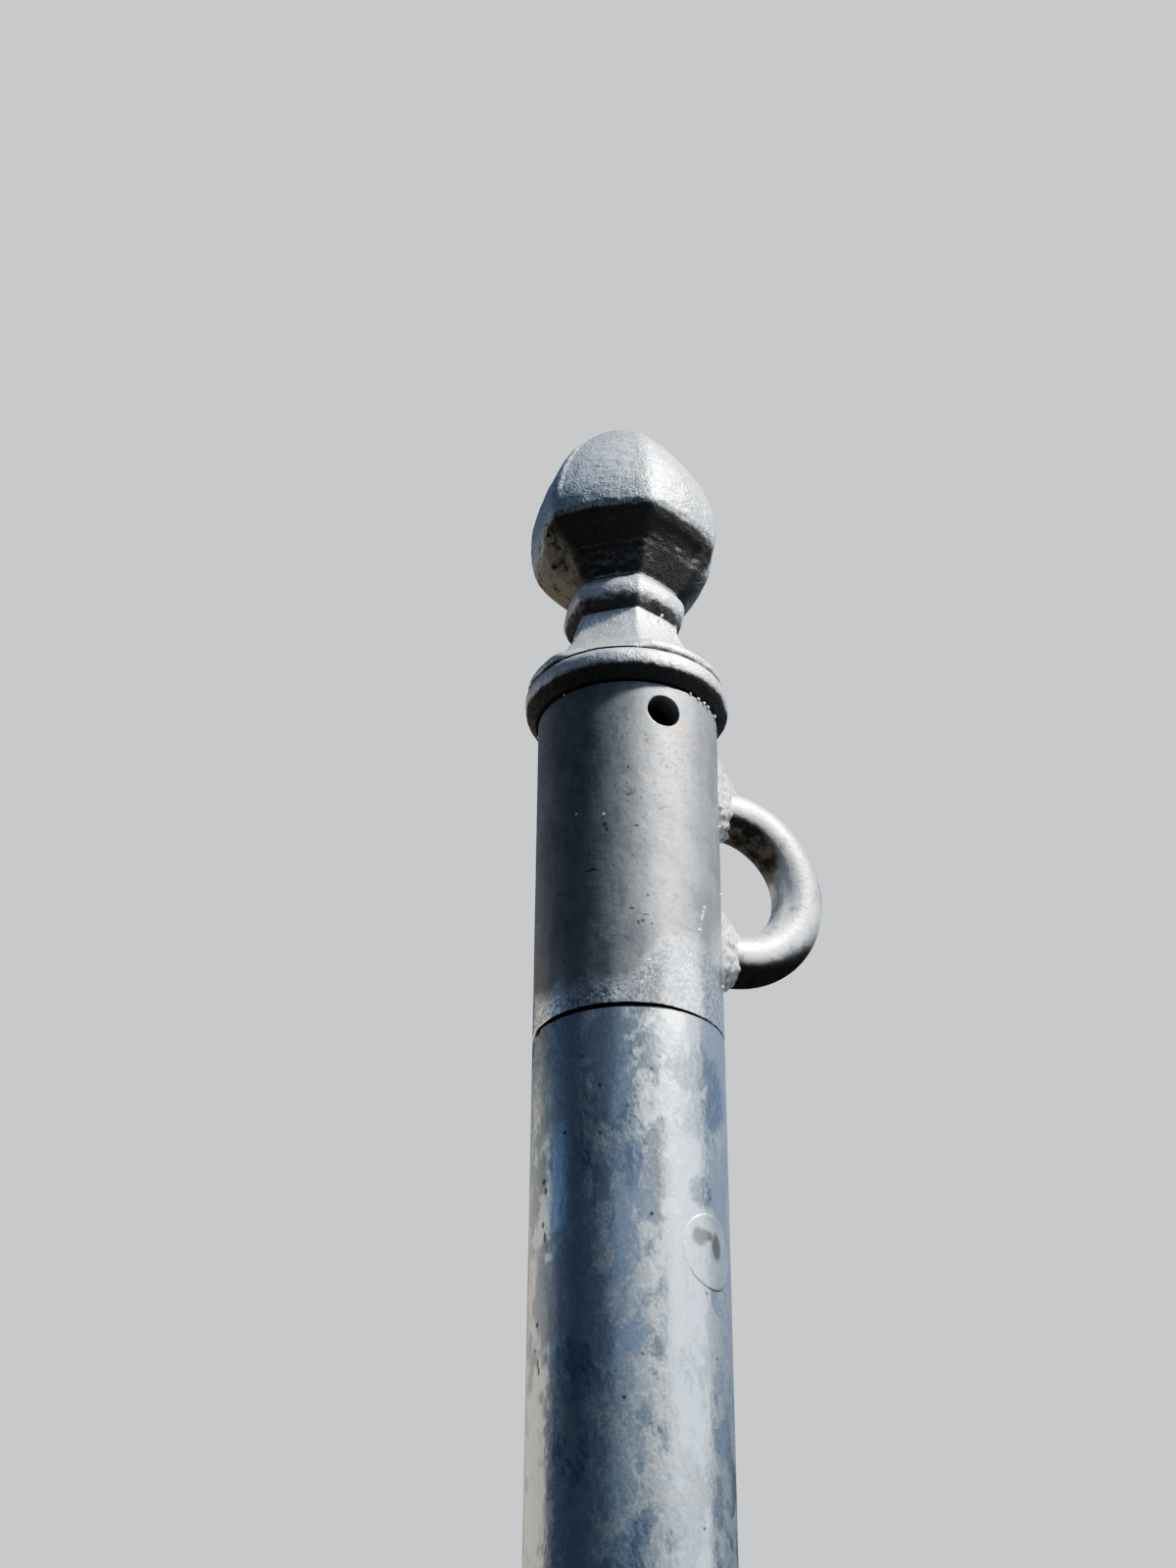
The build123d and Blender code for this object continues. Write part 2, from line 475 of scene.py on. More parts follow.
def bright_galvanised_tube():
    """Hot-dip galvanised steel tube, wiped as it left the bath: bright blue-grey zinc that runs
    in soft clouds and fine streaks, so it mirrors the light in ragged bands."""
    material, tree, shader = new_material("bright_galvanised_tube")
    at = place(tree)
    height = z_of(tree, at)
    clouds = noise_of(tree, at, 22, 5, 0.6, (1, 1, 1.8))
    patches = noise_of(tree, at, 9, 5, 0.65, (1, 1, 1.4), shift=3.0)
    grain = noise_of(tree, at, 1.5, 3, 0.65, shift=5.0)
    wiping = noise_of(tree, at, 2.6, 3, 0.6, (1, 1, 9), shift=1.0)
    dull = mapped(tree, math_node(tree, "ADD", clouds, patches), 0.93, 1.1)
    base = coloured(tree, dull, "#c3ced7", "#a9b4bc")
    base = coloured(tree, times(tree, mapped(tree, grain, 0.4, 0.7), 0.3), base, "#e8eff5")
    base = coloured(tree, mapped(tree, wiping, 0.55, 0.8, 0.0, 0.4), base, "#7a8996")
    pits = larger(tree, pits_of(tree, at, 13, 1.6), marks_of(tree, at, POLE_PITS))
    base = coloured(tree, times(tree, pits, 0.8), base, "#2a2825")
    base = coloured(tree, marks_of(tree, at, POLE_BEADS), base, "#8f8f88")
    # Dross left in a patch over the plug, and feathers where the tube was wiped: all over one
    # place and in drifts elsewhere
    dross = patch_of(tree, at, DROSS)
    dross = times(tree, dross, noise_of(tree, at, 1.8, 3, 0.65, shift=8.0))
    feathers = add(tree, "ShaderNodeMapping", {"Vector": at})
    feathers.inputs["Rotation"].default_value = (math.radians(28), 0, math.radians(20))
    feathers = noise_of(tree, feathers.outputs[0], 2.2, 3, 0.6, (1, 1, 4), shift=2.0)
    feathered = patch_of(tree, at, WIPED)
    drifts = noise_of(tree, at, 34, 3, 0.6, (1, 1, 2), shift=15.0)
    drifts = mapped(tree, drifts, 0.5, 0.64, 0.0, 0.7)
    feathers = times(tree, feathers, larger(tree, feathered, drifts))
    base = coloured(tree, mapped(tree, dross, 0.15, 0.5, 0.0, 0.85), base, "#7f8a92")
    base = coloured(tree, mapped(tree, feathers, 0.2, 0.5, 0.0, 0.75), base, "#8593a0")
    # Dirt in the joint, thick where the head sits a little open, and painted shade in the crevice
    # round the plug's foot
    dirt_and_shade = joint_dirt(tree, at, height, JOINT, -1)
    crevice_shade = vector_node(tree, "DISTANCE", at, on_pole(PLUG_BEARING, PLUG_HEIGHT))
    crevice_shade = apart(tree, crevice_shade, PLUG_RADIUS + 0.2 * MM)
    crevice_shade = mapped(tree, crevice_shade, 0.1 * MM, 0.4 * MM, 0.85, 0.0)
    crevice_shade = times(tree, crevice_shade, patch_of(tree, at, PLUG_CREVICE_SHADE))
    dirt_and_shade = larger(tree, dirt_and_shade, crevice_shade)
    base = coloured(tree, dirt_and_shade, base, "#171310")
    rough = weighted(tree, dull, 0.2, 0.2)
    rough = weighted(tree, grain, 0.1, rough)
    coated(tree, shader, base, 0.92, rough)
    bumped(
        tree,
        shader,
        (clouds, 0.9, 0.7),
        (patches, 0.06, 0.6),
        (wiping, 0.02, 0.5),
        (grain, 0.004, 0.4),
        (feathers, 0.22, 0.8),
        (dross, 0.35, 0.9),
    )
    return material


def weathered_galvanised_tube():
    """Hot-dip galvanised steel tube that has weathered to a dull grey, with scuffs, dark specks, a
    few bright chips, painted glints on a few drops of zinc and one brown stain; bright, finely
    spangled zinc is left along its foot."""
    material, tree, shader = new_material("weathered_galvanised_tube")
    at = place(tree)
    height = z_of(tree, at)
    clouds = noise_of(tree, at, 26, 5, 0.62, shift=3.0)
    fine = noise_of(tree, at, 2.0, 3, 0.65)
    grain = noise_of(tree, at, 1.1, 2, 0.6, shift=4.0)
    # The bright band's upper edge is ragged; it rises on one side and dips on the other
    lift = patch_of(tree, at, BAND_LIFT)
    wave = noise_of(tree, at, 9, 4, 0.6, shift=11.0)
    wave = weighted(tree, wave, -0.016, height)
    wave = weighted(tree, lift, -0.010, wave)
    wave = weighted(tree, patch_of(tree, at, BAND_DIP), 0.011, wave)
    band = mapped(tree, wave, HEAD_FOOT + 9 * MM, HEAD_FOOT + 19 * MM, 1.0, 0.0)
    shade = crystals_of(tree, at, 1.0, 0.5)
    streaks = noise_of(tree, at, 7, 4, 0.65, (1, 1, 2.5), shift=13.0)
    dull = coloured(tree, mapped(tree, clouds, 0.32, 0.68), "#666b72", "#868b91")
    dull = coloured(tree, mapped(tree, streaks, 0.35, 0.65, 0.0, 0.45), dull, "#a3a8ac")
    dull = coloured(tree, times(tree, fine, 0.4), dull, "#a6aaae")
    scuffed = mapped(tree, noise_of(tree, at, 30, 3, 0.6, shift=17.0), 0.45, 0.6, 0.0, 0.45)
    for patch in HEAD_SCUFFS:
        scuffed = larger(tree, scuffed, patch_of(tree, at, patch))
    scuffs = mapped(tree, noise_of(tree, at, 3.4, 4, 0.7, shift=19.0), 0.53, 0.64, 0.0, 0.7)
    dull = coloured(tree, times(tree, scuffs, scuffed), dull, "#4c4f54")
    # Dark specks lie here and there, and crowd together below the vent
    specks = larger(tree, pits_of(tree, at, 9, 1.0, 2.0), marks_of(tree, at, HEAD_SPECKS))
    crowd = patch_of(tree, at, SPECK_CROWD)
    crowd = times(tree, crowd, pits_of(tree, at, 4.2, 1.5, 5.0))
    specks = larger(tree, specks, times(tree, crowd, 0.9))
    dull = coloured(tree, times(tree, specks, 0.75), dull, "#3c3d40")
    # Pale chips, and painted glints where drops of zinc sit on the tube
    chips_and_glints = marks_of(tree, at, HEAD_PALE_SPECKS_AND_GLINTS)
    dull = coloured(tree, chips_and_glints, dull, "#ffeedd")
    bright = coloured(tree, shade, "#abb5bd", "#fdfdfd")
    base = coloured(tree, band, dull, bright)
    stain = patch_of(tree, at, BROWN_STAIN)
    stain = times(tree, stain, mapped(tree, fine, 0.42, 0.6, 0.0, 0.55))
    base = coloured(tree, stain, base, "#a06a40")
    base = coloured(tree, joint_dirt(tree, at, height, HEAD_FOOT, 1), base, "#14110e")
    metal = mapped(tree, band, 0.0, 1.0, 0.68, 0.9)
    metal = weighted(tree, chips_and_glints, -0.6, metal, clamp=True)
    rough = weighted(tree, fine, 0.12, 0.42)
    rough = weighted(tree, band, -0.24, rough)
    coated(tree, shader, base, metal, rough)
    sparkle = times(tree, shade, band)
    bumped(
        tree,
        shader,
        (clouds, 0.8, 0.7),
        (fine, 0.08, 0.6),
        (grain, 0.02, 0.5),
        (sparkle, 0.06, 0.8),
    )
    return material


def galvanised_sand_casting():
    """Iron cast in sand and dipped in zinc: the sand leaves a leathery grain all over it and the
    zinc a light grey skin, matt in the sun, with glints painted on its grains. Dirt and painted
    shade sit in the creases, and painted shade darkens the undersides, with pale dust in patches."""
    material, tree, shader = new_material("galvanised_sand_casting")
    at = place(tree)
    height = z_of(tree, at)
    clouds = noise_of(tree, at, 20, 4, 0.6, shift=2.0)
    leather = noise_of(tree, at, 2.3, 3, 0.6, shift=4.0)
    grain = noise_of(tree, at, 1.0, 2, 0.65)
    pits = mapped(tree, noise_of(tree, at, 3.2, 3, 0.6, shift=9.0), 0.60, 0.70)
    base = coloured(tree, mapped(tree, clouds, 0.3, 0.7), "#b0bac3", "#cdd6dd")
    base = coloured(tree, times(tree, leather, 0.4), base, "#dde3e7")
    base = coloured(tree, times(tree, pits, 0.3), base, "#6b6a67")
    shade = crystals_of(tree, at, 0.9, 0.4)
    # Painted glints: the brightest crystals are painted near white
    painted_glint = mapped(tree, shade, 0.7, 0.95)
    base = coloured(tree, mapped(tree, shade, 0.4, 0.1, 0.0, 0.4), base, "#7a7c7f")
    base = coloured(tree, times(tree, painted_glint, 0.7), base, "#f6f7f8")
    # Painted shade darkens the undersides, less where the bulb hangs full
    underside_shade = weighted(tree, patch_of(tree, at, LESS_SHADE_BELLY), -0.4, 0.95)
    underside_shade = times(tree, underside_shade, underside_shade_of(tree, leather))
    # On one side the painted shade is near black from the bulb's foot up to its belly; on the
    # other side it is paler, with tan dust in patches
    deep_shade = patch_of(tree, at, DEEP_SHADE_PATCH)
    above = mapped(tree, height, HEAD_TOP + 64 * MM, HEAD_TOP + 67 * MM)
    deep_shade = times(tree, deep_shade, above)
    below = mapped(tree, height, HEAD_TOP + 77 * MM, HEAD_TOP + 86 * MM, 1.0, 0.0)
    deep_shade = times(tree, deep_shade, below)
    underside_shade = larger(tree, underside_shade, times(tree, deep_shade, 0.96))
    pale = mapped(tree, noise_of(tree, at, 7, 3, 0.65, shift=21.0), 0.3, 0.5)
    pale = times(tree, pale, patch_of(tree, at, PALE_DUST))
    # Painted light: the lip, the flare and the bead are painted whiter, the painted shade over it
    stem = mapped(tree, apart(tree, height, HEAD_TOP + 34 * MM), 24 * MM, 34 * MM, 0.6, 0.0)
    base = coloured(tree, stem, base, "#f2f4f5")
    dust_and_shade = coloured(tree, pale, "#22201e", "#9a9184")
    base = coloured(tree, underside_shade, base, coloured(tree, deep_shade, dust_and_shade, "#0f0e0d"))
    # A painted highlight runs as a pale line up beside the wide ridge, above the belly
    ridge_highlight = vector_node(tree, "DOT_PRODUCT", at, on_pole(WIDE_RIDGE - 2.5 + 90, 0, 1.0))
    ridge_highlight = mapped(tree, math_node(tree, "ABSOLUTE", ridge_highlight), 0.5 * MM, 1.3 * MM, 1.0, 0.0)
    upper = on_pole(WIDE_RIDGE, HEAD_TOP + 124 * MM, 30 * MM)
    ridge_highlight = times(tree, ridge_highlight, spot_of(tree, at, upper, 25, 29))
    ridge_highlight = times(tree, ridge_highlight, mapped(tree, leather, 0.35, 0.5))
    base = coloured(tree, ridge_highlight, base, "#ffffff")
    dirt_and_shade = marks_of(tree, at, CASTING_DIRT)
    dirt_and_shade = times(tree, dirt_and_shade, mapped(tree, leather, 0.45, 0.6))
    # Dirt and painted shade darken the creases
    for crease, wide, black in CREASES:
        away = apart(tree, height, HEAD_TOP + crease * MM)
        away = weighted(tree, grain, 0.6 * MM, away)
        line = mapped(tree, away, 0.35 * MM, (0.35 + wide) * MM, black, 0.0)
        dirt_and_shade = larger(tree, dirt_and_shade, line)
    base = coloured(tree, dirt_and_shade, base, "#201e1c")
    metal = weighted(tree, underside_shade, -0.4, 0.7)
    metal = weighted(tree, ridge_highlight, -0.5, metal)
    rough = weighted(tree, grain, 0.16, 0.32)
    rough = weighted(tree, underside_shade, 0.3, rough)
    rough = weighted(tree, painted_glint, -0.12, rough)
    rough = weighted(tree, dirt_and_shade, 0.3, rough)
    coated(tree, shader, base, metal, rough)
    bumped(
        tree,
        shader,
        (clouds, 1.0, 0.6),
        (leather, 0.24, 0.9),
        (grain, 0.36, 1.0),
        (pits, 0.1, 0.6),
    )
    return material


def galvanised_bar():
    """Round steel bar, bent and dipped: the zinc lies thick and slightly grainy on it, white in
    the sun, with dross left in patches and near black painted shade on its undersides."""
    material, tree, shader = new_material("galvanised_bar")
    at = place(tree)
    clouds = noise_of(tree, at, 12, 4, 0.6, shift=4.0)
    fine = noise_of(tree, at, 1.8, 3, 0.65, shift=1.0)
    base = coloured(tree, mapped(tree, clouds, 0.35, 0.65), "#c6ccd0", "#e8ebed")
    smudge = mapped(tree, noise_of(tree, at, 9, 3, 0.6, shift=6.0), 0.56, 0.68)
    base = coloured(tree, times(tree, smudge, 0.5), base, "#5b5e60")
    dross_and_shade = spot_of(tree, at, BEND_DROSS, 3.0, 5.5)
    dross_and_shade = times(tree, dross_and_shade, mapped(tree, fine, 0.3, 0.45))
    # Painted shade darkens the undersides, in the same colours as the dross
    dross_and_shade = larger(tree, dross_and_shade, underside_shade_of(tree, clouds))
    # Inside the upper bend the painted shade lies in tan and black patches
    patchy = spot_of(tree, at, BEND_PATCHY_SHADE, 10, 26)
    patches = mapped(tree, noise_of(tree, at, 8, 4, 0.65, shift=9.0), 0.4, 0.62)
    patchy = times(tree, patchy, patches)
    dust_and_shade = coloured(tree, patchy, "#141210", "#7c7164")
    base = coloured(tree, times(tree, dross_and_shade, 0.96), base, dust_and_shade)
    rough = weighted(tree, fine, 0.14, 0.3)
    rough = weighted(tree, dross_and_shade, 0.3, rough)
    coated(tree, shader, base, 0.6, rough)
    bumped(tree, shader, (clouds, 0.6, 0.6), (fine, 0.2, 0.8))
    return material


def galvanised_weld():
    """Weld metal under thick zinc: lumpy and nearly white, darker in the hollows of its bumps."""
    material, tree, shader = new_material("galvanised_weld")
    at = place(tree)
    lumps = noise_of(tree, at, 2.0, 3, 0.6)
    # Darker where its bumps sink
    base = coloured(tree, mapped(tree, lumps, 0.32, 0.44), "#66686b", "#eef0f1")
    coated(tree, shader, base, 0.5, 0.34)
    bumped(tree, shader, (lumps, 0.25, 0.7))
    return material


def stained_plug_weld():
    """A weld cap ground flush and dipped, with a brown-grey stain that runs off to one side."""
    material, tree, shader = new_material("stained_plug_weld")
    at = place(tree)
    clouds = noise_of(tree, at, 5, 4, 0.65)
    streaks = noise_of(tree, at, 1.6, 3, 0.6, (1, 1, 6), shift=3.0)
    grain = noise_of(tree, at, 1.3, 2, 0.6, shift=5.0)
    stain = marks_of(tree, at, PLUG_STAINS)
    stain = times(tree, stain, mapped(tree, clouds, 0.32, 0.42))
    base = coloured(tree, mapped(tree, streaks, 0.3, 0.7), "#bcc8d2", "#d6e0e8")
    base = coloured(tree, times(tree, stain, 0.9), base, "#7d7571")
    coated(tree, shader, base, 0.85, weighted(tree, clouds, 0.16, 0.26))
    bumped(tree, shader, (clouds, 0.35, 0.7), (streaks, 0.06, 0.5), (grain, 0.06, 0.6))
    return material


def dark_inner_steel():
    """Steel tube inside the pole, thinly zinced and never seen by the sun: dull and dark."""
    material, tree, shader = new_material("dark_inner_steel")
    at = place(tree)
    clouds = noise_of(tree, at, 12, 3, 0.6)
    coated(tree, shader, coloured(tree, clouds, "#5a5c5e", "#7e8082"), 0.6, 0.5)
    return material


def pale_floor():
    """Matt studio paper: one pale tone with no shine, as light as the air behind it far from the
    pole. Only the camera sees it pale, so that it throws little light up under the casting."""
    material, tree, shader = new_material("pale_floor")
    seen = add(tree, "ShaderNodeLightPath").outputs["Is Camera Ray"]
    far = mapped(tree, vector_node(tree, "LENGTH", place(tree)), 1.2, 4.0)
    glow = times(tree, far, weighted(tree, seen, 1 - UNSEEN_GLOW, UNSEEN_GLOW))
    base = coloured(tree, seen, "#75726d", "#e2e4e6")
    coated(tree, shader, coloured(tree, far, base, "#000000"), 0.0, 0.9)
    tree.links.new(glow, shader.inputs["Emission Strength"])
    shader.inputs["Emission Color"].default_value = linear(AIR_SEEN)
    return material


# ---- the tubes ----


def bent_tube(radius, wall, foot, top, bearing, around, up, hole, rounding):
    """A slab with a round hole is rolled to a tube, the hole at the given bearing.
    hole is (height, radius), and rounding softens the slab's outer edges."""
    width = 2 * math.pi * radius
    bm = bmesh.new()
    bmesh.ops.create_grid(bm, x_segments=around, y_segments=up, size=0.5)
    low = min(v.co.x for v in bm.verts)
    span = -2 * low
    for v in bm.verts:
        v.co = Vector((v.co.x / span * width, foot + (v.co.y / span + 0.5) * (top - foot), 0))
    cut_round_hole(bm, *hole)
    skin = list(bm.faces)
    grown = bmesh.ops.extrude_face_region(bm, geom=skin, use_keep_orig=True)["geom"]
    for v in only(BMVert, grown):
        v.co.z -= wall
    bm.normal_update()
    edge = width / 2 - 1e-7
    seam = [f for f in bm.faces if all(abs(v.co.x) > edge for v in f.verts)]
    bmesh.ops.delete(bm, geom=seam, context="FACES")
    rims = [
        e
        for e in bm.edges
        if len(e.link_faces) == 2
        and all(abs(v.co.z) < 1e-7 for v in e.verts)
        and any(min(v.co.z for v in f.verts) < -1e-5 for f in e.link_faces)
    ]
    bmesh.ops.bevel(
        bm,
        geom=rims,
        offset=rounding,
        offset_type="OFFSET",
        segments=3,
        profile=0.5,
        affect="EDGES",
        material=-1,
    )
    for v in bm.verts:
        turn = math.radians(bearing) + v.co.x / radius
        out = radius + v.co.z
        v.co = Vector((out * math.cos(turn), out * math.sin(turn), v.co.y))
    return bm


def cut_round_hole(bm, height, size):
    """Takes out a square of the slab and fills it again up to a circle, ring by ring."""
    centre = Vector((0, height, 0))
    reach = size * 1.4
    inside = [
        f
        for f in bm.faces
        if max(abs(c) for c in (f.calc_center_median() - centre)[:2]) < reach
    ]
    bmesh.ops.delete(bm, geom=inside, context="FACES")
    loop = [
        e
        for e in bm.edges
        if e.is_boundary
        and all(max(abs(c) for c in (v.co - centre)[:2]) < reach * 1.3 for v in e.verts)
    ]
    origin = {v: v.co.copy() for e in loop for v in e.verts}
    for share in (0.3, 0.6, 0.85, 1.0):
        made = bmesh.ops.extrude_edge_only(bm, edges=loop)["geom"]
        loop = only(BMEdge, made)
        origin = {
            v: next(origin[w] for e in v.link_edges for w in e.verts if w in origin)
            for v in only(BMVert, made)
        }
        for v, square in origin.items():
            on_circle = centre + (square - centre).normalized() * size
            v.co = square.lerp(on_circle, share)


def turned(profile):
    """A closed outline of (radius, height) spun round the pole's axis."""
    bm = bmesh.new()
    verts = [bm.verts.new((r, 0, z)) for r, z in profile]
    edges = [bm.edges.new((a, b)) for a, b in zip(verts, verts[1:] + verts[:1])]
    bmesh.ops.spin(
        bm,
        geom=verts + edges,
        cent=(0, 0, 0),
        axis=(0, 0, 1),
        angle=2 * math.pi,
        steps=192,
        use_merge=True,
    )
    return bm


def rounded_corner(corner, before, after, size):
    """Points of a small arc in place of a corner of an outline."""
    steps = 3
    corner, before, after = Vector(corner), Vector(before), Vector(after)
    start = corner + (before - corner).normalized() * size
    end = corner + (after - corner).normalized() * size
    out = []
    for i in range(steps + 1):
        t = i / steps
        out.append(tuple((1 - t) ** 2 * start + 2 * t * (1 - t) * corner + t * t * end))
    return out


def add_lump(bm, spot, size, seed):
    """A small uneven ball of metal."""
    shift = Vector((seed, 0, 0))
    for v in bmesh.ops.create_icosphere(bm, subdivisions=3, radius=1.0)["verts"]:
        swell = size * (1 + 0.4 * noise.noise(v.co * 1.3 + shift))
        v.co = spot + v.co * swell


# ---- the casting ----

# From the lip's foot to the tip: half width across the flats, height above the head tube, and
# how round the section is, from 0 for six flats to 1 for a circle.
CASTING = [
    (35.2, 0.05, 1),
    (36.7, 0.05, 1),
    (38.4, 2.0, 1),
    (40.0, 3.9, 1),
    (41.1, 5.4, 1),
    (41.6, 7.4, 1),
    (41.65, 9.6, 1),
    (41.5, 11.3, 1),
    (40.9, 12.8, 1),
    (40.1, 13.8, 1),
    (39.6, 14.15, 1),
    (39.5, 14.3, 1),
    (39.6, 14.5, 1),
    (40.1, 15.1, 1),
    (40.4, 16.4, 1),
    (40.2, 18.0, 1),
    (39.3, 19.5, 0.9),
    (36.8, 20.6, 0.6),
    (33.9, 21.8, 0.35),
    (31.6, 23.8, 0.25),
    (29.7, 26.6, 0.2),
    (27.8, 29.8, 0.2),
    (26.1, 33.0, 0.2),
    (24.4, 36.4, 0.2),
    (23.0, 39.8, 0.2),
    (21.9, 43.4, 0.2),
    (21.4, 46.4, 0.2),
    (21.4, 47.8, 0.25),
    (22.4, 49.2, 0.35),
    (23.6, 51.2, 0.45),
    (24.6, 53.6, 0.5),
    (25.1, 56.0, 0.5),
    (25.1, 58.6, 0.5),
    (24.3, 61.2, 0.45),
    (22.7, 63.4, 0.35),
    (21.7, 64.8, 0.25),
    (22.6, 66.0, 0.2),
    (25.2, 68.6, 0.25),
    (29.2, 73.2, 0.3),
    (33.4, 78.4, 0.35),
    (36.4, 84.4, 0.35),
    (38.0, 92.4, 0.35),
    (38.4, 100.5, 0.35),
    (37.8, 108.5, 0.35),
    (35.7, 117.5, 0.35),
    (32.3, 126.0, 0.35),
    (28.8, 133.6, 0.4),
    (24.2, 140.8, 0.45),
    (19.1, 146.8, 0.5),
    (14.4, 151.6, 0.6),
    (9.9, 155.4, 0.8),
    (5.6, 157.9, 1),
    (2.2, 159.0, 1),
    (0.7, 159.3, 1),
]


def softened(points):
    """Cuts the corners of an open outline, keeping its two ends."""
    cut = [points[0]]
    for a, b in zip(points, points[1:]):
        cut.append(tuple(0.75 * u + 0.25 * v for u, v in zip(a, b)))
        cut.append(tuple(0.25 * u + 0.75 * v for u, v in zip(a, b)))
    return cut + [points[-1]]


def evenly(points, step):
    """The same outline walked in even steps."""
    lengths = [0.0]
    for a, b in zip(points, points[1:]):
        lengths.append(lengths[-1] + math.hypot(b[0] - a[0], b[1] - a[1]))
    count = round(lengths[-1] / step)
    walked, i = [], 0
    for k in range(count + 1):
        want = lengths[-1] * k / count
        while i < len(points) - 2 and lengths[i + 1] < want:
            i += 1
        t = (want - lengths[i]) / max(lengths[i + 1] - lengths[i], 1e-9)
        t = min(max(t, 0), 1)
        walked.append(tuple(u + (v - u) * t for u, v in zip(points[i], points[i + 1])))
    return walked


def between(value, steps):
    """Straight lines through (place, height) pairs."""
    if value <= steps[0][0]:
        return steps[0][1]
    for (a, low), (b, high) in zip(steps, steps[1:]):
        if value <= b:
            return low + (high - low) * (value - a) / (b - a)
    return steps[-1][1]


def six_sided(half, rounding, off):
    """Distance from the axis to a six-sided outline, off radians from a flat's middle."""
    ridge = rounding * half
    inner = (half - ridge) / math.cos(math.pi / 6)
    begin = math.atan((half - ridge) * math.tan(math.pi / 6) / half)
    if abs(off) <= begin:
        return half / math.cos(off)
    left = math.pi / 6 - abs(off)
    return inner * math.cos(left) + math.sqrt(max(ridge**2 - (inner * math.sin(left)) ** 2, 0))


def aside(turn, bearing):
    """How many degrees a direction lies from a bearing, either way."""
    return abs((math.degrees(turn) - bearing + 180) % 360 - 180)


def cast_point(turn, level):
    """A point of the casting's skin; its sides turn and lean a little as it goes up."""
    half, height, roundness = level
    side = math.pi / 3
    off = turn % side - side / 2
    # More of the mesh goes to the ridges than to the flats
    off = math.copysign(side / 2 * (1 - (1 - abs(off) / (side / 2)) ** 1.4), off)
    turn = turn - turn % side + side / 2 + off
    turn += math.radians(RIDGE_BEARING + between(height, TWIST))
    # On one side the foot of the flare has run full, down to the groove
    if GROOVE < height < FILL_TOP:
        full = between(aside(turn, FILLED_SIDE), FILL_SPREAD)
        half += full * min(between(height, FILL) - half, 0)
        roundness += full * min(between(height, FILL_ROUNDNESS) - roundness, 0)
    # The bulb's front sides turn under more sharply than the others
    half -= between(aside(turn, FRONT_SIDES), FRONT_SPREAD) * between(height, BELLY_CUT)
    # and towards the eye the bulb hangs fuller
    half += between(aside(turn, FULL_SIDE), SWELL_SPREAD) * between(height, BELLY_SWELL)
    # The ridge between the two front sides is worn rounder above the belly
    worn = aside(turn, WORN_RIDGE) < WORN_RIDGE_REACH
    rounding = between(height, RIDGE_WEAR) if worn else RIDGE_ROUNDING
    size = (1 - roundness) * six_sided(half, rounding, off) + roundness * 1.05 * half
    # One ridge of the bulb stands wider than the others
    wide = between(aside(turn, WIDE_RIDGE), WIDE_RIDGE_SPREAD)
    turn -= math.radians(wide * between(height, WIDE_RIDGE_TURN))
    spot = Vector((size * math.cos(turn), size * math.sin(turn), height))
    spot += on_pole(LEAN_BEARING, 0, between(height, LEAN))
    # The skin is uneven, but not at its two ends
    lumps = sum(noise.noise(spot / lump) * depth for lump, depth in CAST_LUMPS)
    inward = Vector((spot.x, spot.y, 0)).normalized()
    fade = min(height / 4, (TIP - height) / 8, 1)
    spot -= inward * (0.25 - lumps * 0.8) * fade
    return spot * MM + Vector((0, 0, HEAD_TOP))


def drawn_up(around, levels, point, closed=False):
    """A ring of points at the first level, drawn on through the other levels. The ends are
    closed with faces, or the last ring is joined to the first."""
    bm = bmesh.new()
    bmesh.ops.create_circle(bm, cap_ends=False, segments=around, radius=1.0)
    turns = {v: math.atan2(v.co.y, v.co.x) % (2 * math.pi) for v in bm.verts}
    first = loop = list(bm.edges)
    for v, turn in turns.items():
        v.co = point(turn, levels[0])
    for level in levels[1:]:
        made = bmesh.ops.extrude_edge_only(bm, edges=loop)["geom"]
        loop = only(BMEdge, made)
        turns = {
            v: next(turns[w] for e in v.link_edges for w in e.verts if w in turns)
            for v in only(BMVert, made)
        }
        for v, turn in turns.items():
            v.co = point(turn, level)
    if closed:
        bmesh.ops.bridge_loops(bm, edges=first + loop)
    else:
        for rim in (first, loop):
            bmesh.ops.contextual_create(bm, geom=rim)
    return bm


def cast_finial():
    """The casting from its lip to its tip, with a mesh of about 0.8 mm."""
    levels = evenly(softened(CASTING), step=0.85)
    return drawn_up(300, levels, cast_point)


# ---- the eye ----


def eye_bar():
    """Round bar: a straight leg, a half turn and a straight leg back."""
    run = EYE_REACH - EYE_START
    upright = Matrix.Rotation(math.pi / 2, 3, "Y")
    bm = bmesh.new()
    bmesh.ops.create_circle(bm, cap_ends=True, segments=64, radius=EYE_BAR)
    bmesh.ops.rotate(bm, verts=bm.verts, cent=(0, 0, 0), matrix=upright)
    bmesh.ops.translate(bm, verts=bm.verts, vec=(EYE_START, 0, EYE_HEIGHT - EYE_BEND))

    def draw_out(faces, length):
        made = bmesh.ops.extrude_face_region(bm, geom=faces)["geom"]
        bmesh.ops.translate(bm, verts=only(BMVert, made), vec=(length, 0, 0))
        return only(BMFace, made)

    cap = draw_out(list(bm.faces), run)
    spun = bmesh.ops.spin(
        bm,
        geom=cap + list(cap[0].edges) + list(cap[0].verts),
        cent=(EYE_REACH, 0, EYE_HEIGHT),
        axis=(0, -1, 0),
        angle=math.pi,
        steps=72,
    )["geom_last"]
    draw_out(only(BMFace, spun), -run)
    return bm


